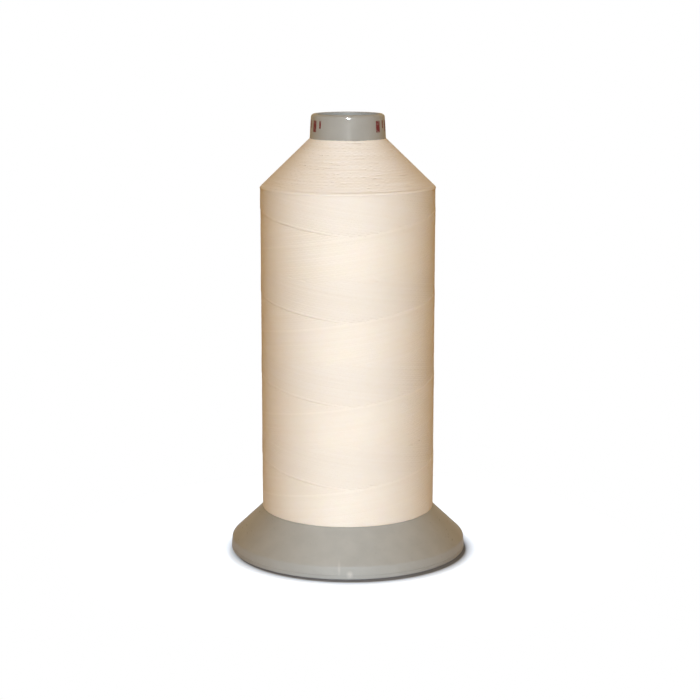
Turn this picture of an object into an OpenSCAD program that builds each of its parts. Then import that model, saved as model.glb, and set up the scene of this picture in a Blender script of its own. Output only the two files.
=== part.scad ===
// Foot spool of waxed thread: a tapered tube with a bell-shaped foot, a base that snaps
// open under the foot to hold the thread's end, and a package of thread wound on the tube.
// Millimetres, +Z up, the table at z = 0 and the spool's axis on Z.

/* [Spool] */
// Height of the spool, from the table to the collar's rim
spool_h = 166.5; // [138:0.5:200]
// Diameter of the foot
foot_d = 90; // [86:0.5:108]

/* [Tube] */
// Outside diameter of the collar at its rim
collar_d = 27.4; // [25.4:0.2:33]
// Angle between the tube's wall and its axis
tube_taper = 3.5; // [3:0.1:4]
// Thickness of the tube's wall
tube_wall = 1.6; // [1.2:0.1:2]
// Diameter of the straight bore in the collar
collar_bore_d = 24; // [20:0.2:24.4]
// Length of the straight bore, with its rounded mouth
collar_bore_l = 10; // [6:0.5:14]
// Rounding of the collar's rim, outside
rim_round = 1.3; // [0.4:0.1:1.4]

/* [Foot] */
// Height of the foot's outer edge over the table
lip_h = 4.4; // [3.8:0.1:6]
// How far the foot's edge leans in, from the seam up to the cone
lip_draft = 0.3; // [0:0.1:0.6]
// Rounding between the foot's edge and its cone
lip_round = 1.6; // [1:0.1:2.4]
// Width of the edge's face that closes on the base
lip_w = 2.4; // [2:0.1:3]
// Slope of the foot's cone
cone_angle = 43.5; // [40:0.5:46]
// Thickness of the foot's shell
foot_wall = 1.8; // [1.4:0.1:2.2]
// Thickness of the hub that grips the tube
hub_wall = 1.6; // [1.2:0.1:2]
// Number of stiffening ribs under the foot
rib_count = 8; // [4:1:10]
// Thickness of a rib
rib_t = 1.4; // [1:0.1:2]
// Height of the ribs' lower edges over the base's plate
rib_lift = 1.5; // [0.6:0.1:3]
// Width of the slot that takes the thread's end
tail_slot_w = 1.6; // [1.4:0.1:2.4]
// Where that slot lies, as an angle round from +X
tail_slot_angle = 122; // [80:1:170]

/* [Base] */
// Height of the base's rim, up to the seam under the foot
base_h = 1.6; // [1.4:0.1:2.2]
// Width of the ring that the spool stands on
stand_w = 4; // [3:0.5:8]
// Height of the base's plate over the table
base_recess = 0.5; // [0.3:0.1:0.6]
// Thickness of the snap fingers
finger_wall = 1.4; // [1:0.1:1.8]
// Height of the fingers over the base's rim
finger_h = 9.2; // [8:0.2:12]
// Number of snap fingers
finger_count = 6; // [4:1:8]
// Width of the slots between the fingers
finger_slot_w = 2; // [1:0.2:3]
// Height of a finger's bead
bead_h = 1.2; // [0.8:0.1:1.6]
// How far a finger's bead stands proud
snap_depth = 0.4; // [0.2:0.05:0.6]
// How far the base opens
snap_travel = 2.5; // [1.5:0.1:3]
// Depth of the notch that a nail opens the base by
nail_notch_depth = 1.2; // [0.6:0.1:2]
// Radius of the nail notch
nail_notch_r = 8; // [5:0.5:12]
// Where the nail notch lies, as an angle round from +X
nail_notch_angle = 155; // [100:1:175]

/* [Thread] */
// Diameter of the thread
thread_d = 0.8; // [0.6:0.05:1]
// Diameter of the wound package
package_d = 66; // [55:0.5:76]
// Height of the bare collar over the package
collar_h = 9; // [6:0.5:16]
// Slope of the package's shoulder
shoulder_angle = 44; // [35:0.5:48]
// Rounding of the package's edges
package_round = 1.2; // [0.4:0.1:2]

/* [Fits] */
// Gap between the foot's hub and the tube
hub_gap = 0.05; // [0:0.01:0.1]
// Gap between the package and what it is wound on
package_gap = 0.05; // [0:0.01:0.1]
// Gap around the snap fingers
snap_gap = 0.2; // [0.1:0.05:0.3]
// Gap between the base's plate and the tube's end
base_gap = 0.3; // [0.2:0.05:0.5]

/* [Hidden] */

$fn = 96;
plastic_colour = [0.68, 0.665, 0.645];
thread_colour = [0.93, 0.87, 0.79];
bury = 0.4; // how far a rib reaches into the walls that it joins
past = 1; // how far a cut runs past the material
socket_land = 2.6; // height of the socket's wall over the groove
finger_root = 1.2; // height of the fingers' solid foot over the base's rim
hub_top_flat = 0.5; // height that blunts the hub's feather edge
edge_round = 0.6; // rounding of the mouldings' free edges
seam_round = 0.15; // rounding of the two edges along the seam

collar_r = collar_d / 2;
collar_bore_r = collar_bore_d / 2;
foot_r = foot_d / 2;
package_r = package_d / 2;
lip_in_r = foot_r - lip_w;
stand_in_r = foot_r - stand_w;

tube_run = tan(tube_taper); // radius gained for each millimetre down the tube
cone_rise = tan(cone_angle); // height gained for each millimetre in along the foot
tube_foot_z = base_h + base_gap;
foot_drop = foot_wall / cos(cone_angle); // the foot's shell, measured upright

// The tube's radius at height z, and the heights of the foot's cone over radius r and
// where it meets a cone that stands gap off the tube, with the foot lowered by drop.
function tube_r(z) = collar_r + (spool_h - z) * tube_run;
function cone_z(r) = lip_h + (foot_r - r) * cone_rise;
function meet_z(gap, drop) =
    (lip_h - drop + (foot_r - collar_r - gap - spool_h * tube_run) * cone_rise)
    / (1 - tube_run * cone_rise);

bead_z1 = base_h + finger_h;
bead_z0 = bead_z1 - bead_h;
groove_z0 = bead_z0 - snap_travel - snap_gap;
groove_z1 = bead_z1 + snap_gap;
socket_z1 = groove_z1 + socket_land;
socket_r = tube_r(socket_z1) - tube_wall - snap_depth - snap_gap;
groove_r = socket_r + snap_depth + snap_gap;
finger_r = socket_r - snap_gap;
bead_r = finger_r + snap_depth;
base_bore_r = finger_r - finger_wall;
finger_slot_z = base_h + finger_root;
bore_z0 = spool_h - collar_bore_l;
collar_wall = collar_r - collar_bore_r;
rim_out_round = min(rim_round, 0.77 * collar_wall);
rim_in_round = min(edge_round, 0.2 * collar_wall);
stand_round = 0.6 * base_recess;

package_z1 = spool_h - collar_h;
package_top_r = tube_r(package_z1) + package_gap;
shoulder_z = package_z1 - (package_r - package_top_r) * tan(shoulder_angle);

// The route of the thread's end: angle from the slot, radius, height. It leaves the package
// at the back, runs down the foot's cone and turns in through the slot, where the base
// holds it.
tail_route = [
    [-82, 33.5, 22], [-78, 33.5, 21.6], [-74, 33.5, 21.3], [-70, 33.5, 20.9], [-66, 33.5, 20.6],
    [-62, 33.5, 20.2], [-58, 33.5, 19.9], [-54, 33.5, 19.5], [-50, 33.5, 19.2], [-46, 33.5, 18.8],
    [-42, 33.5, 18.5], [-38, 33.5, 18.1], [-34, 33.5, 17.7], [-30, 33.5, 17.2], [-26, 33.8, 16.5],
    [-22.5, 34.6, 15.2], [-19, 35.6, 14], [-16, 36.6, 13], [-13, 37.6, 12.1], [-10, 38.6, 11.1],
    [-7, 39.6, 10.2], [-4, 40.6, 9.2], [-1.5, 41.6, 8.3], [0, 42.6, 7.2], [0, 43.3, 6],
    [0, 43.4, 4.6], [0, 42.9, 3.4], [0, 41.6, 2.6], [0, 40, 2.4], [0, 38.4, 2.4]
];

function unit(v) = v / norm(v);

// An outline with rounded corners, from points of [radius, height, rounding].
function point_2d(p) = [p[0], p[1]];
function rounded_corner(before, at, after, r, steps) =
    let (
        u = unit(before - at),
        v = unit(after - at),
        half = acos(u * v) / 2,
        centre = at + unit(u + v) * r / sin(half),
        from = at + u * r / tan(half) - centre,
        to = at + v * r / tan(half) - centre,
        a0 = atan2(from[1], from[0]),
        turn = (atan2(to[1], to[0]) - a0 + 540) % 360 - 180
    )
    [for (i = [0:steps]) centre + r * [cos(a0 + turn * i / steps), sin(a0 + turn * i / steps)]];
function outline(points, steps = 6) =
    let (n = len(points))
    [for (i = [0:n - 1])
        each points[i][2] == 0
            ? [point_2d(points[i])]
            : rounded_corner(
                point_2d(points[(i + n - 1) % n]), point_2d(points[i]),
                point_2d(points[(i + 1) % n]), points[i][2], steps)];

module turned(points) {
    rotate_extrude() polygon(outline(points));
}

module around(count) {
    for (i = [0:count - 1]) rotate(360 * i / count) children();
}

// A round cord swept along a path, with its rings turned as little as the path allows.
function tangent(path, i) =
    unit(path[min(i + 1, len(path) - 1)] - path[max(i - 1, 0)]);
function normals(path, normal, i = 0) =
    i == len(path) ? [] :
    let (t = tangent(path, i), m = unit(normal - (normal * t) * t))
    concat([m], normals(path, m, i + 1));

module cord(path, d, normal, sides = 8) {
    n = len(path);
    across = normals(path, normal);
    points = [for (i = [0:n - 1], k = [0:sides - 1])
        let (a = 360 * k / sides)
        path[i] + d / 2 * (cos(a) * across[i] + sin(a) * cross(tangent(path, i), across[i]))];
    walls = [for (i = [0:n - 2], k = [0:sides - 1])
        let (k1 = (k + 1) % sides)
        [i * sides + k1, i * sides + k, (i + 1) * sides + k, (i + 1) * sides + k1]];
    start = [[for (k = [0:sides - 1]) k]];
    end = [[for (k = [sides - 1:-1:0]) (n - 1) * sides + k]];
    polyhedron(points, concat(start, walls, end));
}

// The tube: a taper that ends in the collar at the top and in the snap socket below.
module spool_tube() {
    color(plastic_colour)
    turned([
        [socket_r, tube_foot_z, edge_round],
        [tube_r(tube_foot_z), tube_foot_z, edge_round],
        [collar_r, spool_h, rim_out_round],
        [collar_bore_r, spool_h, rim_in_round],
        [collar_bore_r, bore_z0, 0],
        [tube_r(bore_z0 - past) - tube_wall, bore_z0 - past, 0],
        [groove_r, socket_z1 + past, 0],
        [socket_r, socket_z1, 0],
        [socket_r, groove_z1, 0],
        [groove_r, groove_z1, 0],
        [groove_r, groove_z0, 0],
        [socket_r, groove_z0, 0]
    ]);
}

// The foot: a cone's shell from the edge up to the hub, with ribs under it.
module foot_rib() {
    z0 = base_h + rib_lift;
    z1 = meet_z(hub_gap + hub_wall, foot_drop);
    r0 = tube_r(z0) + hub_gap + hub_wall - bury;
    r1 = tube_r(z1) + hub_gap + hub_wall - bury;
    r2 = lip_in_r - past;
    rotate([90, 0, 0])
    linear_extrude(rib_t, center = true)
    polygon([
        [r0, z0],
        [r2, z0],
        [r2, cone_z(r2) - foot_drop + bury],
        [r1, cone_z(r1) - foot_drop + bury]
    ]);
}

module foot_flange() {
    top_z = meet_z(hub_gap, 0) - hub_top_flat;
    hub_z = meet_z(hub_gap + hub_wall, foot_drop);
    color(plastic_colour)
    difference() {
        union() {
            turned([
                [lip_in_r, base_h, 0],
                [foot_r, base_h, seam_round],
                [foot_r - lip_draft, cone_z(foot_r - lip_draft), lip_round],
                [foot_r - (top_z - lip_h) / cone_rise, top_z, 0],
                [tube_r(top_z) + hub_gap, top_z, 0],
                [tube_r(tube_foot_z) + hub_gap, tube_foot_z, 0],
                [tube_r(tube_foot_z) + hub_gap + hub_wall, tube_foot_z, 0],
                [tube_r(hub_z) + hub_gap + hub_wall, hub_z, 0],
                [lip_in_r, cone_z(lip_in_r) - foot_drop, 0]
            ]);
            around(rib_count) foot_rib();
        }
        rotate(tail_slot_angle) {
            translate([lip_in_r - past, 0, 0])
            cylinder(h = cone_z(lip_in_r), d = tail_slot_w);
            translate([lip_in_r - past, -tail_slot_w / 2, 0])
            cube([lip_w + 2 * past, tail_slot_w, cone_z(lip_in_r) + past]);
        }
    }
}

// The base: a plate with the ring that the spool stands on, and the fingers that snap
// into the tube's socket.
module base_cap() {
    color(plastic_colour)
    difference() {
        turned([
            [base_bore_r, base_recess, 0],
            [stand_in_r, base_recess, 0],
            [stand_in_r, 0, stand_round],
            [foot_r, 0, edge_round],
            [foot_r, base_h, seam_round],
            [finger_r, base_h, 0],
            [finger_r, bead_z0, 0],
            [bead_r, bead_z0, 0],
            [bead_r, bead_z0 + bead_h / 3, 0],
            [finger_r, bead_z1, 0],
            [base_bore_r, bead_z1, 0]
        ]);
        around(finger_count)
        translate([base_bore_r - past, -finger_slot_w / 2, finger_slot_z])
        cube([finger_wall + snap_depth + 2 * past, finger_slot_w, finger_h]);
        rotate(nail_notch_angle)
        translate([foot_r - nail_notch_depth + nail_notch_r, 0, base_h / 2])
        cylinder(h = base_h, r = nail_notch_r);
    }
}

// The package: thread wound on the tube, resting on the foot's cone.
module thread_package() {
    corner_z = meet_z(package_gap, -package_gap);
    color(thread_colour)
    turned([
        [tube_r(corner_z) + package_gap, corner_z, 0],
        [package_r, cone_z(package_r) + package_gap, package_round],
        [package_r, shoulder_z, package_round],
        [package_top_r, package_z1, 0]
    ]);
}

// The thread's outer end.
module thread_tail() {
    path = [for (p = tail_route) [p[1] * cos(p[0]), p[1] * sin(p[0]), p[2]]];
    color(thread_colour)
    rotate(tail_slot_angle)
    cord(path, thread_d, path[0] - [0, 0, path[0][2]]);
}

spool_tube();
foot_flange();
base_cap();
thread_package();
thread_tail();
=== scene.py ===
"""A foot spool of waxed thread: the looks that go round its frame of moulded pieces.

Metres, +Z up, the spool's axis on Z and the table at z = 0. The front is -Y, and a place
round the spool is an azimuth in degrees: 0 at the front, growing towards +X.
"""
import math
import random

import bmesh
import bpy
from bpy.props import FloatProperty, FloatVectorProperty, IntProperty, PointerProperty
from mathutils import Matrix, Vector


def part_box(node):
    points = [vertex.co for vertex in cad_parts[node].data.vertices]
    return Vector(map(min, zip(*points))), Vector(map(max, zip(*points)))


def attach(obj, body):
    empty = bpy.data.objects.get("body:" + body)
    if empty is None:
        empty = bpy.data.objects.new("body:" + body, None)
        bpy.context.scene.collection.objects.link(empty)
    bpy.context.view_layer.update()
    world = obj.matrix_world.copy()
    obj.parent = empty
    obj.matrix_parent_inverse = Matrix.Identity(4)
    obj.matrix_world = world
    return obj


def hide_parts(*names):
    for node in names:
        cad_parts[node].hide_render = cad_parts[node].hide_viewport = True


bl_info = {
    "name": "Waxed thread spool",
    "version": (1, 0, 0),
    "blender": (4, 5, 0),
    "location": "3D View > Sidebar > Spool",
    "description": "Winds the thread, finishes the mouldings and sets the stage of a foot spool",
    "category": "Object",
}

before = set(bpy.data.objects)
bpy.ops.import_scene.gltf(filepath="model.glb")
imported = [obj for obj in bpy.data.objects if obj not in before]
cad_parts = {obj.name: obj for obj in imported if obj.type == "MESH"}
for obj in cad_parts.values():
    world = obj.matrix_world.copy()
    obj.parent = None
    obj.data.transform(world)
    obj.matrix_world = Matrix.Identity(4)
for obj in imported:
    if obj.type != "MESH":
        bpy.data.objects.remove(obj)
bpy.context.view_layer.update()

MM = 0.001
SPOOL_BODY = "spool"
BASE_BODY = "base"
PLASTIC_SLOT = "spool_plastic"
THREAD_SLOT = "waxed_thread"

FOOT_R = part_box("foot_flange")[1].x
SPOOL_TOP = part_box("spool_tube")[1].z
PACKAGE_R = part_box("thread_package")[1].y
PACKAGE_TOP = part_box("thread_package")[1].z
COLLAR_R = 13.7 * MM  # at the rim
TUBE_RUN = math.tan(math.radians(3.5))  # radius gained for each metre down the tube
FOOT_RISE = math.tan(math.radians(43.5))  # height gained for each metre in along the foot
LIP_TOP = 4.4 * MM  # where the foot's cone meets its upright edge
SHOULDER_SLOPE = math.radians(44)
CORNER_ROUND = 1.2 * MM  # between the package's shoulder and its side
# Painted light: the shoulder gets less light than the side, so its thread is painted paler.
SHOULDER_PAINTED_LIGHT = (1.03, 1.045, 1.08)  # the shoulder's thread is a little paler than the side's
MIRRORED_WHITE = 0.12  # how much of the white background shows in reflections

FINE_RELIEF = 0.02 * MM  # depth of the finest bumps in a material
PLY_TWIST = 1.1 * MM  # length of one twist of the plies that show in a turn's surface

# The thread's end: angle from the slot, radius and height, as the frame has it.
SLOT_ANGLE = 122  # round from +X
TAIL_ROUTE_MM = [
    (-82, 33.5, 22), (-78, 33.5, 21.6), (-74, 33.5, 21.3), (-70, 33.5, 20.9), (-66, 33.5, 20.6),
    (-62, 33.5, 20.2), (-58, 33.5, 19.9), (-54, 33.5, 19.5), (-50, 33.5, 19.2), (-46, 33.5, 18.8),
    (-42, 33.5, 18.5), (-38, 33.5, 18.1), (-34, 33.5, 17.7), (-30, 33.5, 17.2), (-26, 33.8, 16.5),
    (-22.5, 34.6, 15.2), (-19, 35.6, 14), (-16, 36.6, 13), (-13, 37.6, 12.1), (-10, 38.6, 11.1),
    (-7, 39.6, 10.2), (-4, 40.6, 9.2), (-1.5, 41.6, 8.3), (0, 42.6, 7.2), (0, 43.3, 6),
    (0, 43.4, 4.6), (0, 42.9, 3.4), (0, 41.6, 2.6), (0, 40, 2.4), (0, 38.4, 2.4),
]

# A painted highlight is a soft paler patch: its centre and half sizes in millimetres, and its strength.
# Painted highlights at the front of the foot: a spot low on its front and a short upright streak beside
# it.
FOOT_PAINTED_HIGHLIGHTS = (
    ((0.7, -44.8, 1.9), (1.5, 6, 1.7), 0.42),
    ((-3.2, -44.0, 4.0), (0.7, 6, 3.4), 0.22),
)
# A painted highlight on the collar: a faint upright streak down its front.
COLLAR_PAINTED_STREAK = (((0.4, -13.8, 158), (1.2, 3, 6), 0.10),)

# A gloss is the coat's weight, roughness and IOR, and the specular level of the plastic under it.
COLLAR_GLOSS = (1.0, 0.11, 1.9, 0.15)
FOOT_GLOSS = (0.15, 0.3, 1.5, 0.35)

# Each moulding's tone, the shift of its clouds, its gloss and its painted highlights.
MOULDINGS = {
    "spool_tube": (0.81, 0, COLLAR_GLOSS, COLLAR_PAINTED_STREAK),
    "foot_flange": (1.01, 0.37, FOOT_GLOSS, FOOT_PAINTED_HIGHLIGHTS),
    "base_cap": (0.96, 0.74, FOOT_GLOSS, FOOT_PAINTED_HIGHLIGHTS),
}

FLOOR_COLOUR = (0.80, 0.80, 0.84)
BARE_FLOOR = (0.30, 0.19, 0.07)  # how the open floor looks under the stage's own lights


# ---------------------------------------------------------------- settings

class SpoolWinding(bpy.types.PropertyGroup):
    """How the thread is wound."""

    thread_width: FloatProperty(
        name="Thread width", description="Width of a turn, pressed flat by its neighbours",
        default=1.50 * MM, min=0.8 * MM, max=1.6 * MM, unit="LENGTH")
    thread_thickness: FloatProperty(
        name="Thread thickness", description="Thickness of a turn, square to the package",
        default=0.23 * MM, min=0.2 * MM, max=0.9 * MM, unit="LENGTH")
    rise_per_turn: FloatProperty(
        name="Rise per turn", description="How far the thread climbs in one turn of the package",
        default=31.25 * MM, min=15 * MM, max=60 * MM, unit="LENGTH")
    starts: IntProperty(
        name="Turns side by side",
        description="Turns of thread that lie between one crossing and the next",
        default=38, min=20, max=60)
    crossing_height: FloatProperty(
        name="Crossing height", description="Height of the lowest crossing at the front",
        default=30.2 * MM, min=15 * MM, max=45 * MM, unit="LENGTH")
    step_height: FloatProperty(
        name="Step", description="How far the newest turn stands proud of the oldest beside it",
        default=0.20 * MM, min=0.0, max=0.6 * MM, unit="LENGTH")
    samples_per_turn: IntProperty(
        name="Samples per turn", description="Sections along the thread in one turn of the package",
        default=96, min=48, max=160)


class SpoolFinish(bpy.types.PropertyGroup):
    """Colours, as they show in plain light."""

    thread_colour: FloatVectorProperty(
        name="Thread", description="Waxed thread, in full light",
        subtype="COLOR", size=3, default=(0.955, 0.872, 0.806), min=0, max=1)
    # A darker thread colour: painted shade on the core where it shows between the turns, and the darker
    # end of each turn's random tone.
    thread_tone_and_gap_shade: FloatVectorProperty(
        name="Thread, painted shade of the core",
        description="Painted shade of the core between the turns, and the darker tone of each turn",
        subtype="COLOR", size=3, default=(0.84, 0.70, 0.54), min=0, max=1)
    plastic_colour: FloatVectorProperty(
        name="Plastic", description="Moulded grey plastic",
        subtype="COLOR", size=3, default=(0.42, 0.397, 0.352), min=0, max=1)
    print_colour: FloatVectorProperty(
        name="Print", description="Plain marks printed round the collar",
        subtype="COLOR", size=3, default=(0.16, 0.016, 0.02), min=0, max=1)


class SpoolStage(bpy.types.PropertyGroup):
    """Camera and light."""

    camera_distance: FloatProperty(
        name="Camera distance", description="From the spool's axis, along the floor",
        default=0.679, min=0.2, max=3, unit="LENGTH")
    camera_height: FloatProperty(
        name="Camera height", description="Above the table",
        default=0.2063, min=0, max=2, unit="LENGTH")
    camera_pitch: FloatProperty(
        name="Camera pitch", description="How far the camera looks down",
        default=math.radians(10.79), min=-1.5, max=1.5, subtype="ANGLE")
    lens: FloatProperty(
        name="Lens", description="Focal length in millimetres on a 36 mm sensor",
        default=93.2, min=20, max=300)
    key_power: FloatProperty(
        name="Key lamp",
        description="Power of the lamp over and behind the camera, in watts",
        default=4.4, min=0, max=100)
    strip_power: FloatProperty(
        name="Strip lamp", description="Power of the upright strip with a narrow beam, in watts",
        default=0.1, min=0, max=20)
    glint_power: FloatProperty(
        name="Glint lamp",
        description="Power of the lamp whose glint shows on the collar's rim, in watts",
        default=15, min=0, max=500)
    key_colour: FloatVectorProperty(
        name="Key lamp's colour", description="Cool, against the warm fill",
        subtype="COLOR", size=3, default=(0.67, 0.82, 1.0), min=0, max=1)
    fill_strength: FloatProperty(
        name="Fill", description="Strength of the light that comes from all round",
        default=0.335, min=0, max=2)
    fill_colour: FloatVectorProperty(
        name="Fill's colour", description="Warm, against the cool key lamp",
        subtype="COLOR", size=3, default=(1.0, 0.545, 0.015), min=0, max=1)


# ---------------------------------------------------------------- places

def at_azimuth(degrees, radius, height):
    """The point at that azimuth, radius and height."""
    a = math.radians(degrees)
    return Vector((radius * math.sin(a), -radius * math.cos(a), height))


def tube_radius(height):
    """The tube's outside radius at a height."""
    return COLLAR_R + (SPOOL_TOP - height) * TUBE_RUN


def foot_height(radius):
    """Height of the foot's cone over a radius."""
    return LIP_TOP + (FOOT_R - radius) * FOOT_RISE


SHOULDER_TOP_R = tube_radius(PACKAGE_TOP) + 0.05 * MM
SHOULDER_Z = PACKAGE_TOP - (PACKAGE_R - SHOULDER_TOP_R) * math.tan(SHOULDER_SLOPE)
SHOULDER_LENGTH = (PACKAGE_R - SHOULDER_TOP_R) / math.cos(SHOULDER_SLOPE)


def shoulder_point(travel):
    """Radius, height and lean of the package's surface, a distance down from its top edge.

    The lean is the angle between the surface and the upright: it goes from the shoulder's
    own to none, round the corner.
    """
    turn = math.pi / 2 - SHOULDER_SLOPE
    cut = CORNER_ROUND * math.tan(turn / 2)
    arc = CORNER_ROUND * turn
    straight = SHOULDER_LENGTH - cut
    if travel <= straight:
        return (SHOULDER_TOP_R + travel * math.cos(SHOULDER_SLOPE),
                PACKAGE_TOP - travel * math.sin(SHOULDER_SLOPE), turn)
    if travel <= straight + arc:
        lean = turn * (1 - (travel - straight) / arc)
        return (PACKAGE_R - CORNER_ROUND * (1 - math.cos(lean)),
                SHOULDER_Z - cut + CORNER_ROUND * math.sin(lean), lean)
    return PACKAGE_R, SHOULDER_Z - cut - (travel - straight - arc), 0.0


# ---------------------------------------------------------------- meshes

def smoothstep(x):
    """0 below 0, 1 above 1, and smooth between."""
    x = min(1.0, max(0.0, x))
    return x * x * (3 - 2 * x)


def add_piece(name, mesh, material, body, slot, *nodes):
    """Links a piece, gives it its finish, and says which body it rides on and what it replaces."""
    piece = bpy.data.objects.new(name, mesh)
    bpy.context.scene.collection.objects.link(piece)
    mesh.materials.clear()
    mesh.materials.append(material)
    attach(piece, body)
    if nodes:
        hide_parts(*nodes)
    return piece


def section_curve(half_thickness, half_width, sides):
    """The thread's section, as the flat curve that a route is swept with."""
    curve = bpy.data.curves.new("thread section", "CURVE")
    curve.dimensions = "2D"
    spline = curve.splines.new("POLY")
    spline.points.add(sides - 1)
    spline.use_cyclic_u = True
    for i, point in enumerate(spline.points):
        a = -2 * math.pi * (i + 0.5) / sides
        point.co = (half_thickness * math.cos(a), half_width * math.sin(a), 0, 1)
    section = bpy.data.objects.new("thread section", curve)
    bpy.context.scene.collection.objects.link(section)
    return section


def sweep(name, runs, half_thickness, half_width, sides=8):
    """A mesh of tubes, one for each run of (point, tilt). Its UV map holds metres along the run."""
    section = section_curve(half_thickness, half_width, sides)
    curve = bpy.data.curves.new(name, "CURVE")
    curve.dimensions = "3D"
    curve.twist_mode = "Z_UP"
    curve.bevel_mode = "OBJECT"
    curve.bevel_object = section
    curve.use_fill_caps = True
    lengths = []
    for run in runs:
        spline = curve.splines.new("POLY")
        spline.points.add(len(run) - 1)
        for point, (place, tilt) in zip(spline.points, run):
            point.co = (*place, 1)
            point.tilt = tilt
        lengths.append(sum((b[0] - a[0]).length for a, b in zip(run, run[1:])))
    holder = bpy.data.objects.new(name, curve)
    bpy.context.scene.collection.objects.link(holder)
    graph = bpy.context.evaluated_depsgraph_get()
    mesh = bpy.data.meshes.new_from_object(holder.evaluated_get(graph))
    mesh.name = name
    corner = 0
    uvs = mesh.uv_layers[0].data
    cap_corners = 2 * (sides - 2) * 3  # both caps are cut into triangles
    for run, length in zip(runs, lengths):
        corners = (len(run) - 1) * sides * 4 + cap_corners
        for loop in range(corner, corner + corners):
            uvs[loop].uv.y *= length
        corner += corners
    for made in (holder, section):
        data = made.data
        bpy.data.objects.remove(made)
        bpy.data.curves.remove(data)
    return mesh


def spun(name, outline, steps=192):
    """A closed mesh: an outline of (radius, height) points turned round the axis."""
    bm = bmesh.new()
    verts = [bm.verts.new((r, 0, z)) for r, z in outline]
    edges = [bm.edges.new(pair) for pair in zip(verts, verts[1:] + verts[:1])]
    bmesh.ops.spin(
        bm, geom=verts + edges, cent=(0, 0, 0), axis=(0, 0, 1), dvec=(0, 0, 0),
        angle=2 * math.pi, steps=steps, use_merge=True, use_duplicate=False)
    bmesh.ops.remove_doubles(bm, verts=bm.verts, dist=0.001 * MM)
    bmesh.ops.recalc_face_normals(bm, faces=bm.faces)
    if bm.calc_volume(signed=True) < 0:
        bmesh.ops.reverse_faces(bm, faces=bm.faces)
    mesh = bpy.data.meshes.new(name)
    bm.to_mesh(mesh)
    bm.free()
    for face in mesh.polygons:
        face.use_smooth = True
    return mesh


# ---------------------------------------------------------------- finishes

def add_math(tree, operation, a, b=0.0):
    """Adds one sum of two values or other nodes' outputs to a node tree."""
    node = tree.nodes.new("ShaderNodeMath")
    node.operation = operation
    for socket, value in zip(node.inputs, (a, b)):
        if isinstance(value, bpy.types.NodeSocket):
            tree.links.new(value, socket)
        else:
            socket.default_value = value
    return node.outputs[0]


def white_seen(tree):
    """How much of the white background shows: all of it to the camera, a little in reflections."""
    rays = tree.nodes.new("ShaderNodeLightPath").outputs
    mirrored = add_math(tree, "MAXIMUM", rays["Is Glossy Ray"], rays["Is Transmission Ray"])
    dimmed = add_math(tree, "MULTIPLY", mirrored, MIRRORED_WHITE)
    return add_math(tree, "MAXIMUM", rays["Is Camera Ray"], dimmed)


class Finish:
    """A material with one Principled shader, and short calls that add its nodes."""

    def __init__(self, name, **sockets):
        self.material = bpy.data.materials.new(name)
        self.material.use_nodes = True
        self.tree = self.material.node_tree
        self.shader = self.tree.nodes["Principled BSDF"]
        for socket, value in sockets.items():
            self.shader.inputs[socket.replace("_", " ")].default_value = value

    def node(self, kind, settings=None, **inputs):
        """Adds a node. Inputs are values or other nodes' outputs, by socket name or as i0, i1."""
        node = self.tree.nodes.new("ShaderNode" + kind)
        for name, value in (settings or {}).items():
            setattr(node, name, value)
        for name, value in inputs.items():
            key = int(name[1:]) if name[0] == "i" and name[1:].isdigit() else name.replace("_", " ")
            if isinstance(value, bpy.types.NodeSocket):
                self.tree.links.new(value, node.inputs[key])
            else:
                node.inputs[key].default_value = value
        return node.outputs[0]

    def coordinates(self, kind="Object"):
        """Where a point of the surface is: in the object, or on its UV map."""
        return self.tree.nodes.new("ShaderNodeTexCoord").outputs[kind]

    def place(self, scale=(1, 1, 1), shift=(0, 0, 0)):
        """Object coordinates, scaled and shifted."""
        return self.node("Mapping", Vector=self.coordinates(), Scale=scale, Location=shift)

    def parts(self, vector):
        """A vector's x, y and z."""
        return self.node("SeparateXYZ", i0=vector).node.outputs

    def length(self, vector):
        """A vector's length."""
        return self.node("VectorMath", {"operation": "LENGTH"}, i0=vector).node.outputs["Value"]

    def noise(self, place, scale, detail=2.0, roughness=0.5):
        """Noise from 0 to 1, mostly near a half."""
        return self.node("TexNoise", Vector=place, Scale=scale, Detail=detail, Roughness=roughness)

    def span(self, value, low, high, to_low=0.0, to_high=1.0):
        """A value's range from low to high, carried to another range and held there."""
        return self.node(
            "MapRange", Value=value, From_Min=low, From_Max=high, To_Min=to_low, To_Max=to_high)

    def math(self, operation, a, b=0.0):
        """One sum."""
        return add_math(self.tree, operation, a, b)

    def mix(self, factor, a, b):
        """Two colours mixed."""
        mix = self.tree.nodes.new("ShaderNodeMix")
        mix.data_type = "RGBA"
        for socket, value in zip((mix.inputs[0], mix.inputs[6], mix.inputs[7]), (factor, a, b)):
            if isinstance(value, bpy.types.NodeSocket):
                self.tree.links.new(value, socket)
            elif socket.type == "RGBA":
                socket.default_value = (*value, 1)
            else:
                socket.default_value = value
        return mix.outputs[2]

    def bump(self, height, distance, strength=1.0, normal=None):
        """A bump, on top of another one if it is given."""
        more = {} if normal is None else {"Normal": normal}
        return self.node("Bump", Height=height, Distance=distance, Strength=strength, **more)

    def join(self, **sockets):
        """Joins outputs to the shader's sockets."""
        for socket, output in sockets.items():
            self.tree.links.new(output, self.shader.inputs[socket.replace("_", " ")])
        return self.material


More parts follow.
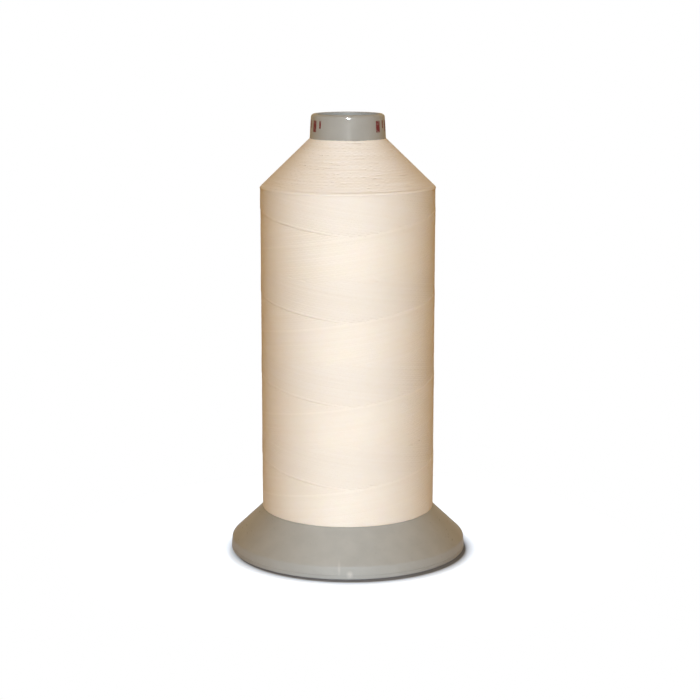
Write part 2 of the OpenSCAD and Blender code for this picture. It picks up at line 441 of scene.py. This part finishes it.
def waxed_thread(name, colour, shade, variety=0.09):
    """Waxed thread: each turn its own tone, fine fibres along it, and a soft wax gloss.

    variety is how far the turns' tones differ, as a share of the way from colour to shade.
    """
    finish = Finish(
        name, Subsurface_Weight=0.10, Subsurface_Radius=(1.0, 0.55, 0.3), Subsurface_Scale=0.5 * MM,
        IOR=1.45, Specular_IOR_Level=0.9, Coat_Weight=0.8, Coat_Roughness=0.62, Coat_IOR=1.45,
        Coat_Tint=(1.0, 0.93, 0.82, 1))
    turn = finish.tree.nodes.new("ShaderNodeNewGeometry").outputs["Random Per Island"]
    fibres = finish.noise(finish.place(scale=(0.12, 0.12, 1)), 2600, detail=3, roughness=0.6)
    clouds = finish.noise(finish.place(shift=(3, 1, 2)), 45, detail=3)
    own_tone = finish.span(turn, 0, 1, 0, variety)
    tone = finish.math("ADD", finish.span(fibres, 0.3, 0.7, 0, 0.07), own_tone)
    tone = finish.math("ADD", tone, finish.span(clouds, 0.35, 0.65, 0, 0.10))
    around, along, _ = finish.parts(finish.coordinates("UV"))
    twist = finish.math("MULTIPLY", along, 2 * math.pi / PLY_TWIST)
    twist = finish.math("ADD", twist, finish.math("MULTIPLY", around, 2 * math.pi))
    plies = finish.math("SINE", twist)
    fuzz = finish.noise(finish.place(), 5200, detail=2)
    bumped = finish.bump(plies, FINE_RELIEF, 0.3)
    bumped = finish.bump(fuzz, FINE_RELIEF, 0.3, bumped)
    return finish.join(
        Base_Color=finish.mix(tone, colour, shade),
        Roughness=finish.span(clouds, 0.35, 0.65, 0.50, 0.60),
        Normal=bumped)


def moulded_plastic(name, colour, offset, gloss, painted_highlights):
    """Moulded plastic: faint clouds in its colour, a fine satin skin, hairlines, a rubbed edge darkened
    as painted shade, and painted highlights.
    """
    coat, coat_roughness, coat_ior, specular = gloss
    finish = Finish(
        name, IOR=1.5, Specular_IOR_Level=specular, Subsurface_Weight=0.06,
        Subsurface_Radius=(1.0, 0.9, 0.75), Subsurface_Scale=1.2 * MM,
        Coat_Weight=coat, Coat_Roughness=coat_roughness, Coat_IOR=coat_ior)
    place = finish.place(shift=(offset, 0, 0))
    clouds = finish.noise(place, 38, detail=4)
    specks = finish.noise(place, 900, detail=2)
    hairlines = finish.noise(finish.place(scale=(1, 0.06, 1), shift=(0, offset, 0)), 1500, detail=1)
    hairline = finish.span(hairlines, 0.70, 0.74)
    mottling = finish.noise(place, 170, detail=3)
    light = tuple(min(1, c * 1.08) for c in colour)
    dark = tuple(c * 0.92 for c in colour)
    # A little darker: painted shade for the foot's rim.
    rim_shade_colour = tuple(min(1, c * 0.94) for c in colour)
    # Paler colour for the painted highlights.
    highlight_colour = tuple(min(1, 1.9 * c) for c in colour)
    dust = (0.30, 0.28, 0.25)
    blotches = finish.math(
        "ADD", finish.span(clouds, 0.35, 0.65, 0, 0.6), finish.span(mottling, 0.35, 0.65, 0, 0.4))
    base = finish.mix(blotches, dark, light)
    base = finish.mix(finish.span(specks, 0.68, 0.76, 0, 0.10), base, dust)
    coordinates = finish.coordinates()
    x, y, _ = finish.parts(coordinates)
    radius = finish.math(
        "SQRT", finish.math("ADD", finish.math("MULTIPLY", x, x), finish.math("MULTIPLY", y, y)))
    # The foot's outermost millimetre: rubbed, which roughens it, and darkened as painted shade against
    # the light its upright edge catches.
    rubbed_and_shaded = finish.math(
        "MULTIPLY", finish.span(radius, FOOT_R - 1.1 * MM, FOOT_R - 0.1 * MM),
        finish.span(finish.noise(place, 260, detail=4, roughness=0.6), 0.35, 0.65, 0.35, 1.0))
    base = finish.mix(rubbed_and_shaded, base, rim_shade_colour)
    # Painted highlights: soft paler patches where a lamp would glint.
    for centre, size, strength in painted_highlights:
        centre, size = [c * MM for c in centre], [s * MM for s in size]
        off = finish.node("VectorMath", {"operation": "SUBTRACT"}, i0=coordinates, i1=centre)
        off = finish.node("VectorMath", {"operation": "DIVIDE"}, i0=off, i1=size)
        highlight_patch = finish.math(
            "MULTIPLY", finish.span(finish.length(off), 1.0, 0.2, 0, strength),
            finish.span(specks, 0.3, 0.6, 0.6, 1.0))
        base = finish.mix(highlight_patch, base, highlight_colour)
    roughness = finish.math(
        "ADD", finish.span(clouds, 0.3, 0.7, 0.30, 0.36), finish.math("MULTIPLY", rubbed_and_shaded, 0.06))
    roughness = finish.math("SUBTRACT", roughness, finish.math("MULTIPLY", hairline, 0.08))
    bumped = finish.bump(specks, FINE_RELIEF, 0.35)
    bumped = finish.bump(clouds, 0.25 * MM, 0.25, bumped)
    bumped = finish.bump(hairline, -0.012 * MM, 0.6, bumped)
    return finish.join(Base_Color=base, Roughness=roughness, Normal=bumped)


def collar_print(name, colour):
    """Printed ink, thin in places, where the plastic under it shows through."""
    finish = Finish(name, IOR=1.45)
    grain = finish.noise(finish.place(), 1400, detail=3, roughness=0.65)
    under = (0.40, 0.36, 0.33)
    thin = tuple(0.55 * c + 0.45 * u for c, u in zip(colour, under))
    return finish.join(
        Base_Color=finish.mix(finish.span(grain, 0.5, 0.68), colour, thin),
        Roughness=finish.span(grain, 0.3, 0.7, 0.4, 0.6),
        Normal=finish.bump(grain, 0.01 * MM, 0.4))


def shadow_floor(name, colour, bare):
    """A floor that looks white in the open, and keeps the spool's shadow.

    bare is how the open floor looks under the stage's own lights. Close to the spool it is
    shaded by those lights, and white makes up the rest, so that only a shadow shows; further
    out the white takes over. The white is for the camera and for reflections only. Close round
    the foot the white thins out and the floor's own shading is dimmed: a painted contact shadow,
    a soft dark line on top of the real shadow.
    """
    finish = Finish(name, Roughness=0.9, Specular_IOR_Level=0.1)
    grain = finish.noise(finish.place(), 60, detail=2)
    finish.join(Base_Color=finish.mix(finish.span(grain, 0.3, 0.7), colour, [0.99 * c for c in colour]))
    nodes, links = finish.tree.nodes, finish.tree.links
    seen = white_seen(finish.tree)
    far = finish.span(finish.length(finish.place()), 1.1 * FOOT_R, 2.5 * FOOT_R)
    rest = finish.mix(far, [1 - b for b in bare], (1, 1, 1))
    # Painted shadow: a soft dark ring just off the foot, shifted a little forward and to the right.
    beside = finish.length(finish.place(shift=(-1 * MM, 3 * MM, 0)))
    painted_shadow_fade = finish.math("POWER", finish.span(beside, FOOT_R - 0.5 * MM, FOOT_R + 4.5 * MM), 0.6)
    hidden = finish.math("MAXIMUM", far, finish.span(painted_shadow_fade, 0, 1, 0.7, 0))
    black = finish.node("Emission", Strength=0.0)
    white = finish.node("Emission", Color=rest, Strength=finish.math("MULTIPLY", seen, painted_shadow_fade))
    own = nodes.new("ShaderNodeMixShader")
    links.new(finish.math("MULTIPLY", seen, hidden), own.inputs[0])
    links.new(finish.shader.outputs[0], own.inputs[1])
    links.new(black, own.inputs[2])
    total = nodes.new("ShaderNodeAddShader")
    links.new(own.outputs[0], total.inputs[0])
    links.new(white, total.inputs[1])
    links.new(total.outputs[0], nodes["Material Output"].inputs[0])
    return finish.material


# ---------------------------------------------------------------- winding

class Winding:
    """The last layers on the package's side, which is wound up and down again in one long helix.

    Turns that climb towards +X cover most of it. Over each crossing at the front, turns that
    fall towards +X lie on top in a triangle that opens upwards. Each newest turn lies half a
    step proud, and those behind it sink to half a step under.
    """

    REVERSAL = 15 * MM  # length over which the thread turns back at an end
    DIVE = 3  # samples over which a turn goes under its neighbours
    SINK = 0.34 * MM  # how far under them it goes
    OVERLAP = 0.9 * MM  # how far the two ways share the top of each triangle
    RUN_OUT = 8 * MM  # how far past each end a start is worked out
    MARGIN = 2 * MM  # how far past each end it may show
    FADE = 3 * MM  # height over which the steps fade at a triangle's tip and top
    DRIFT = 0.017  # spread of the height of each wave in a turn's path, in millimetres
    PROUD = 0.006  # spread of the turns' own levels, in millimetres
    CLEAR = 0.03 * MM  # kept between the proudest turns and the package's radius

    def __init__(self, sizes):
        self.rise = sizes.rise_per_turn
        self.starts = sizes.starts
        self.pitch = self.rise / self.starts
        self.crossing = sizes.crossing_height
        self.step = sizes.step_height
        self.slope = self.rise / (2 * math.pi * PACKAGE_R)
        self.stride = 2 * math.pi * PACKAGE_R / sizes.samples_per_turn
        self.radius = PACKAGE_R - sizes.thread_thickness / 2 - sizes.step_height / 2 - self.CLEAR
        half_width = sizes.thread_width / 2
        self.bottom = foot_height(self.radius) + half_width + 0.25 * MM
        self.top = shoulder_point(SHOULDER_LENGTH)[1] - half_width + 0.1 * MM

    def turned_back(self, travel):
        """Distance from an end, with the thread's turn back rounded off."""
        t = abs(travel)
        return t * t / (2 * self.REVERSAL) if t < self.REVERSAL else t - self.REVERSAL / 2

    def above_crossing(self, height):
        """Height over the nearest crossing below, at the front."""
        return (height - self.crossing) % self.rise

    def falling_on_top(self, azimuth, height, ragged):
        """Whether the falling turns lie on top there."""
        off_front = abs((azimuth + 180) % 360 - 180)
        over = self.above_crossing(height)
        return self.rise * off_front / 360 < over < self.rise / 2 + ragged

    def level(self, age, height):
        """How far a turn of that age stands over the middle level."""
        over = self.above_crossing(height)
        edge = smoothstep(over / self.FADE) * smoothstep((self.rise / 2 - over) / self.FADE)
        return self.step * (0.5 - age / self.starts) * edge

    def turns(self, falling, age, rng):
        """The stretches of one start that show, as runs of (point, tilt)."""
        direction = -1 if falling else 1
        span = (self.top - self.bottom) / self.slope
        lead = self.REVERSAL / 2
        first = -lead - self.RUN_OUT
        count = int((span + 2 * (lead + self.RUN_OUT)) / self.stride)
        edge = self.crossing - direction * (age + 0.5) * self.pitch
        waves = [
            (rng.uniform(20, 90) * MM, rng.uniform(0, 6.28), rng.gauss(0, self.DRIFT) * MM)
            for _ in range(4)]
        proud = rng.gauss(0, self.PROUD) * MM
        samples = []
        for i in range(count):
            travel = first + i * self.stride
            height = self.bottom + self.slope * travel
            azimuth = direction * 360 * (height - edge) / self.rise
            if travel < lead:
                height = self.bottom + self.slope * self.turned_back(travel + lead)
            if travel > span - lead:
                height = self.top - self.slope * self.turned_back(span + lead - travel)
            ragged = 0.9 * MM * math.sin(age * 2.4) + 0.5 * MM * math.sin(azimuth * 0.11)
            ragged += self.OVERLAP if falling else -self.OVERLAP
            on_top = self.falling_on_top(azimuth, height, ragged) == falling
            on_top = on_top and -lead - self.MARGIN < travel < span + lead + self.MARGIN
            drift = sum(size * math.sin(travel / length + phase) for length, phase, size in waves)
            radius = self.radius + self.level(age, height) + proud
            samples.append((azimuth, height + drift, radius, on_top))
        return self.shown(samples)

    def shown(self, samples):
        """Cuts the samples to the stretches on top, with a dive under the others at each end."""
        tops = [i for i, sample in enumerate(samples) if sample[3]]
        runs = []
        run = []
        nearest = []
        for i in range(len(samples)):
            nearest.append(min((abs(i - t) for t in tops), default=len(samples)))
        for (azimuth, height, radius, _), off in zip(samples, nearest):
            if off > self.DIVE:
                if len(run) > 2:
                    runs.append(run)
                run = []
                continue
            sunk = self.SINK * smoothstep(off / self.DIVE)
            run.append((at_azimuth(azimuth, radius - sunk, height), 0.0))
        if len(run) > 2:
            runs.append(run)
        return runs


def shoulder_runs(sizes, rng):
    """The thread on the shoulder: the crowns of the turns, row over row down to the corner."""
    slope = sizes.rise_per_turn / (2 * math.pi * PACKAGE_R)
    reversal = 40 * MM  # length over which the thread turns back
    half = 22 * MM  # half the length of a crown
    level = 5 * MM  # half the stretch of it that lies on top
    fade = 17 * MM  # length over which it goes under the others
    sink = 0.30 * MM  # how far under them it goes
    spacing = 15 * MM  # from one crown to the next in a row
    first_row = 0.42 * MM
    row_pitch = 0.74 * MM
    top_edge = 0.3 * MM
    clear = 0.06 * MM  # kept between the crowns and the package's surface
    samples = 17
    runs = []
    for row in range(int(SHOULDER_LENGTH / row_pitch)):
        down = first_row + row * row_pitch
        around = 2 * math.pi * shoulder_point(down)[0]
        count = max(3, round(around / spacing))
        first = rng.uniform(0, 360)
        for k in range(count):
            middle = first + 360 * (k + rng.uniform(-0.25, 0.25)) / count
            lift = rng.gauss(0, 0.006) * MM
            start = down + rng.gauss(0, 0.03) * MM
            run = []
            for i in range(samples):
                along = half * (2 * i / (samples - 1) - 1)
                sag = slope * along * along / (2 * reversal)
                radius, height, lean = shoulder_point(max(top_edge, start + sag))
                sunk = sink * smoothstep((abs(along) - level) / fade)
                inset = sizes.thread_thickness / 2 + clear - lift + sunk
                azimuth = middle + math.degrees(along / radius)
                place = at_azimuth(
                    azimuth, radius - inset * math.cos(lean), height - inset * math.sin(lean))
                run.append((place, -lean))
            runs.append(run)
    return runs


# ---------------------------------------------------------------- operators

class SPOOL_OT_finish_mouldings(bpy.types.Operator):
    """Give the tube, the foot and the base their moulded plastic"""

    bl_idname = "spool.finish_mouldings"
    bl_label = "Finish the mouldings"

    def execute(self, context):
        colours = context.scene.spool_finish
        for node, (tone, offset, gloss, painted_highlights) in MOULDINGS.items():
            colour = [tone * c for c in colours.plastic_colour]
            material = moulded_plastic(f"moulded plastic, {node}", colour, offset, gloss, painted_highlights)
            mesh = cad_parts[node].data
            mesh.materials.clear()
            mesh.materials.append(material)
        return {"FINISHED"}


class SPOOL_OT_print_collar(bpy.types.Operator):
    """Print plain upright marks round the collar, all but at the front"""

    bl_idname = "spool.print_collar"
    bl_label = "Print the collar"

    FIRST, LAST = 48.0, 312  # azimuths that the marks start between
    WIDE, NARROW = 9.0, 3.4  # degrees
    GAP = 7.5  # degrees
    SUNK, PROUD = 0.03 * MM, 0.025 * MM  # how far the ink goes into the collar and out of it

    def execute(self, context):
        low, high = SPOOL_TOP - 6.4 * MM, SPOOL_TOP - 2.2 * MM
        bm = bmesh.new()
        azimuth = self.FIRST
        wide = True
        while azimuth < self.LAST:
            sweep_angle = self.WIDE if wide else self.NARROW
            base = low if wide else low + 1.4 * MM
            corners = []
            for height in (base, high):
                radius = tube_radius(height)
                corners.append(at_azimuth(azimuth, radius - self.SUNK, height))
                corners.append(at_azimuth(azimuth, radius + self.PROUD, height))
            face = bm.faces.new([bm.verts.new(corners[i]) for i in (0, 1, 3, 2)])
            bmesh.ops.spin(
                bm, geom=[face, *face.edges, *face.verts], cent=(0, 0, 0), axis=(0, 0, 1),
                dvec=(0, 0, 0), angle=math.radians(sweep_angle), steps=4,
                use_merge=False, use_duplicate=False)
            azimuth += sweep_angle + self.GAP
            wide = not wide
        bmesh.ops.recalc_face_normals(bm, faces=bm.faces)
        mesh = bpy.data.meshes.new("collar_marks")
        bm.to_mesh(mesh)
        bm.free()
        material = collar_print("dark red ink", context.scene.spool_finish.print_colour)
        add_piece("collar_marks", mesh, material, SPOOL_BODY, PLASTIC_SLOT)
        return {"FINISHED"}


class SPOOL_OT_wind_core(bpy.types.Operator):
    """Fill the package under its last layers"""

    bl_idname = "spool.wind_core"
    bl_label = "Wind the core"

    def execute(self, context):
        colours = context.scene.spool_finish
        under = 0.44 * MM  # how far the core lies under the package's surface
        clear = 0.1 * MM  # kept from the tube and the foot
        foot_r = PACKAGE_R - under
        foot_z = foot_height(foot_r) + clear
        inner_z = foot_z + 9.6 * MM  # the foot rises to the tube
        outline = [(tube_radius(inner_z) + clear, inner_z), (foot_r, foot_z)]
        steps = 40
        for i in range(steps, -1, -1):  # up from just past the corner
            radius, height, lean = shoulder_point(SHOULDER_LENGTH * 1.02 * i / steps)
            outline.append((radius - under * math.cos(lean), height - under * math.sin(lean)))
        top_r, top_z = outline[-1]
        outline.append((tube_radius(top_z) + 0.02 * MM, top_z))
        mesh = spun("winding_core", outline)
        # The core is all in the darker colour: painted shade in the gaps between the turns.
        material = waxed_thread(
            "waxed thread, core in painted shade", colours.thread_tone_and_gap_shade, colours.thread_tone_and_gap_shade)
        add_piece("winding_core", mesh, material, SPOOL_BODY, THREAD_SLOT, "thread_package")
        return {"FINISHED"}


class SPOOL_OT_wind_side(bpy.types.Operator):
    """Wind the last layers on the package's side"""

    bl_idname = "spool.wind_side"
    bl_label = "Wind the side"

    def execute(self, context):
        sizes = context.scene.spool_winding
        colours = context.scene.spool_finish
        winding = Winding(sizes)
        rng = random.Random(7)
        material = waxed_thread("waxed thread", colours.thread_colour, colours.thread_tone_and_gap_shade)
        # The newest turns get a paler copy of the thread with no random tone: painted light, for the
        # bright lines where they stand proud.
        painted_bright_turns = waxed_thread(
            "waxed thread, newest turns", [min(1, 1.025 * c) for c in colours.thread_colour],
            colours.thread_tone_and_gap_shade, variety=0.0)
        rising = [winding.turns(False, age, rng) for age in range(sizes.starts)]
        falling = [winding.turns(True, age, rng) for age in range(sizes.starts)]
        groups = {
            "newest_turns": rising[:1] + falling[:1],
            "rising_turns_1": rising[1::2],
            "rising_turns_2": rising[2::2],
            "falling_turns": falling[1:],
        }
        for name, starts in groups.items():
            runs = [run for start in starts for run in start]
            mesh = sweep(name, runs, sizes.thread_thickness / 2, sizes.thread_width / 2)
            thread = painted_bright_turns if name == "newest_turns" else material
            add_piece(name, mesh, thread, SPOOL_BODY, THREAD_SLOT, "thread_package")
        return {"FINISHED"}


class SPOOL_OT_wind_shoulder(bpy.types.Operator):
    """Wind the shoulder, where the thread turns back"""

    bl_idname = "spool.wind_shoulder"
    bl_label = "Wind the shoulder"

    def execute(self, context):
        sizes = context.scene.spool_winding
        colours = context.scene.spool_finish
        runs = shoulder_runs(sizes, random.Random(11))
        mesh = sweep("shoulder_turns", runs, sizes.thread_thickness / 2, sizes.thread_width / 2)
        # Painted light: a paler copy of the thread for the sloping shoulder.
        colour = [tint * c for tint, c in zip(SHOULDER_PAINTED_LIGHT, colours.thread_colour)]
        material = waxed_thread(
            "waxed thread, shoulder", colour, colours.thread_tone_and_gap_shade, variety=0.20)
        add_piece("shoulder_turns", mesh, material, SPOOL_BODY, THREAD_SLOT, "thread_package")
        return {"FINISHED"}


class SPOOL_OT_lay_tail(bpy.types.Operator):
    """Lay the thread's end down the foot and into its slot, as three plies"""

    bl_idname = "spool.lay_tail"
    bl_label = "Lay the thread's end"

    def execute(self, context):
        colours = context.scene.spool_finish
        plies = 3
        twist = 3.0 * MM  # length of one twist
        ply_r = 0.205 * MM
        off_middle = 0.185 * MM  # of each ply, so that they press into each other
        stride = 0.28 * MM
        smoothings = 6
        under_turns = [(-100, 32.2, 23.3), (-94, 32.7, 22.9), (-88, 33.2, 22.5)]
        points = [
            at_azimuth(SLOT_ANGLE + 90 + a, r * MM, z * MM)
            for a, r, z in (*under_turns, *TAIL_ROUTE_MM)]
        fine = []
        for a, b in zip(points, points[1:]):
            cuts = max(1, round((b - a).length / stride))
            fine += [a.lerp(b, k / cuts) for k in range(cuts)]
        for _ in range(smoothings):
            fine = [fine[0]] + [
                (p + 2 * q + r) / 4 for p, q, r in zip(fine, fine[1:], fine[2:])] + [fine[-1]]
        runs = []
        for ply in range(plies):
            run = []
            travelled = 0.0
            for i, point in enumerate(fine):
                before, after = fine[max(0, i - 1)], fine[min(len(fine) - 1, i + 1)]
                along = (after - before).normalized()
                side = along.cross(Vector((0, 0, 1))).normalized()
                across = side.cross(along)
                angle = 2 * math.pi * (travelled / twist + ply / plies)
                out = math.cos(angle) * side + math.sin(angle) * across
                run.append((point + off_middle * out, 0.0))
                travelled += (after - point).length
            runs.append(run)
        mesh = sweep("thread_end", runs, ply_r, ply_r, sides=7)
        material = waxed_thread("waxed thread, end", colours.thread_colour, colours.thread_tone_and_gap_shade)
        add_piece("thread_end", mesh, material, SPOOL_BODY, THREAD_SLOT, "thread_tail")
        return {"FINISHED"}


class SPOOL_OT_set_stage(bpy.types.Operator):
    """Set the camera, the lamps and the floor"""

    bl_idname = "spool.set_stage"
    bl_label = "Set the stage"

    SENSOR_WIDTH = 36  # millimetres
    SIDEWAYS = 0.0031  # how far the view is shifted, as a share of its width
    STRIP_SIZE = (0.03, 0.45)
    REAR_SHARE = 1.6  # the rear strip's power, for each watt of the front one's
    FLOOR_HALF = 6  # metres

    def lamp(self, name, place, size, power, colour=(1, 1, 1)):
        """An area lamp that points at the middle of the spool."""
        data = bpy.data.lights.new(name, "AREA")
        data.shape = "RECTANGLE"
        data.size, data.size_y = size
        data.energy = power
        data.color = colour
        lamp = bpy.data.objects.new(name, data)
        lamp.location = place
        middle = Vector((0, 0, SPOOL_TOP / 2))
        lamp.rotation_euler = (middle - Vector(place)).to_track_quat("-Z", "Y").to_euler()
        bpy.context.scene.collection.objects.link(lamp)
        return lamp

    def execute(self, context):
        scene = context.scene
        stage = scene.spool_stage
        scene.view_settings.view_transform = "Standard"
        # With the light tree on, the narrow strip lamp leaves grain on the thread.
        scene.cycles.use_light_tree = False
        data = bpy.data.cameras.new("camera")
        data.lens = stage.lens
        data.sensor_width = self.SENSOR_WIDTH
        data.shift_x = self.SIDEWAYS
        camera = bpy.data.objects.new("camera", data)
        camera.location = (0, -stage.camera_distance, stage.camera_height)
        camera.rotation_euler = (math.pi / 2 - stage.camera_pitch, 0, 0)
        scene.collection.objects.link(camera)
        scene.camera = camera

        self.lamp(
            "key lamp", at_azimuth(3, 1.25, 0.6), (0.06, 0.06), stage.key_power, stage.key_colour)
        # The glint lamp gives gloss only, and to the tube only.
        glint = self.lamp("glint lamp", at_azimuth(1.5, 1.25, 0.6), (0.1, 0.1), stage.glint_power)
        glint.visible_diffuse = False
        lit = bpy.data.collections.new("lit by the glint lamp")
        lit.objects.link(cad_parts["spool_tube"])
        glint.light_linking.receiver_collection = lit
        strip = self.lamp(
            "strip lamp", at_azimuth(-2, 0.6, 0.26), self.STRIP_SIZE, stage.strip_power,
            stage.key_colour)
        strip.data.spread = math.radians(13.5)
        rear = self.lamp(
            "rear lamp", at_azimuth(180, 0.6, 0.325), self.STRIP_SIZE,
            self.REAR_SHARE * stage.strip_power, stage.key_colour)
        rear.data.spread = math.radians(22)
        for lamp in (strip, rear):
            lamp.visible_glossy = False
            lamp.visible_camera = False

        world = bpy.data.worlds.new("studio")
        scene.world = world
        world.use_nodes = True
        nodes, links = world.node_tree.nodes, world.node_tree.links
        # The fill lights the spool, and the white is only what the camera and reflections see.
        fill = nodes["Background"]
        fill.inputs["Color"].default_value = (*stage.fill_colour, 1)
        fill.inputs["Strength"].default_value = stage.fill_strength
        white = nodes.new("ShaderNodeBackground")
        white.inputs["Color"].default_value = (1, 1, 1, 1)
        mixed = nodes.new("ShaderNodeMixShader")
        links.new(white_seen(world.node_tree), mixed.inputs[0])
        links.new(fill.outputs[0], mixed.inputs[1])
        links.new(white.outputs[0], mixed.inputs[2])
        links.new(mixed.outputs[0], nodes["World Output"].inputs[0])

        bm = bmesh.new()
        bmesh.ops.create_grid(bm, x_segments=1, y_segments=1, size=self.FLOOR_HALF)
        mesh = bpy.data.meshes.new("floor")
        bm.to_mesh(mesh)
        bm.free()
        mesh.materials.append(shadow_floor("pale floor", FLOOR_COLOUR, BARE_FLOOR))
        floor = bpy.data.objects.new("floor", mesh)
        scene.collection.objects.link(floor)
        return {"FINISHED"}


class SPOOL_PT_panel(bpy.types.Panel):
    """The spool's settings and its pieces"""

    bl_idname = "SPOOL_PT_panel"
    bl_label = "Waxed thread spool"
    bl_space_type = "VIEW_3D"
    bl_region_type = "UI"
    bl_category = "Spool"

    def draw(self, context):
        layout = self.layout
        for group_name in GROUPS:
            group = getattr(context.scene, group_name)
            box = layout.box()
            for name in group.__annotations__:
                box.prop(group, name)
        for operator in OPERATORS:
            layout.operator(operator.bl_idname)


OPERATORS = (
    SPOOL_OT_set_stage,
    SPOOL_OT_finish_mouldings,
    SPOOL_OT_print_collar,
    SPOOL_OT_wind_core,
    SPOOL_OT_wind_side,
    SPOOL_OT_wind_shoulder,
    SPOOL_OT_lay_tail,
)
GROUPS = {"spool_winding": SpoolWinding, "spool_finish": SpoolFinish, "spool_stage": SpoolStage}


def register():
    """Adds the settings, the operators and the panel."""
    for cls in (*GROUPS.values(), *OPERATORS, SPOOL_PT_panel):
        bpy.utils.register_class(cls)
    for name, group in GROUPS.items():
        setattr(bpy.types.Scene, name, PointerProperty(type=group))


def unregister():
    """Takes them away again."""
    for name in GROUPS:
        delattr(bpy.types.Scene, name)
    for cls in reversed((*GROUPS.values(), *OPERATORS, SPOOL_PT_panel)):
        bpy.utils.unregister_class(cls)


def main():
    """Builds the spool round its frame."""
    register()
    for operator in OPERATORS:
        category, name = operator.bl_idname.split(".")
        getattr(getattr(bpy.ops, category), name)()


if __name__ == "__main__":
    main()
